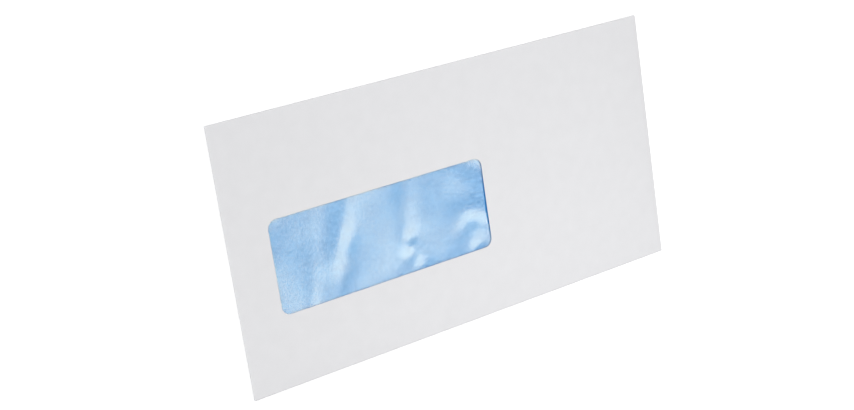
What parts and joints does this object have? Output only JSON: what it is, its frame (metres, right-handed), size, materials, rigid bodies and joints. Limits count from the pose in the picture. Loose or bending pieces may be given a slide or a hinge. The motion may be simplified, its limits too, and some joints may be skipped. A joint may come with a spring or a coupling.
{
  "type": "paper envelope",
  "caption": "Flat landscape paper envelope with a clear address window at the lower left, folded from one sheet, with its closing flap turned in behind.",
  "frame": {"origin": "middle of the envelope's outline, on the surface that it lies on", "axes": "+X along the long edges to the right of a reader, +Y towards the closing flap's fold, +Z out of the window side"},
  "size_m": [0.229, 0.114, 0.0014],
  "materials": {
    "white_paper": "matte",
    "clear_film": "gloss",
    "dry_gum": "satin"
  },
  "bodies": {
    "root": {"folded_paper": "white_paper", "window_film": "clear_film", "flap_gum": "dry_gum"}
  },
  "joints": []
}
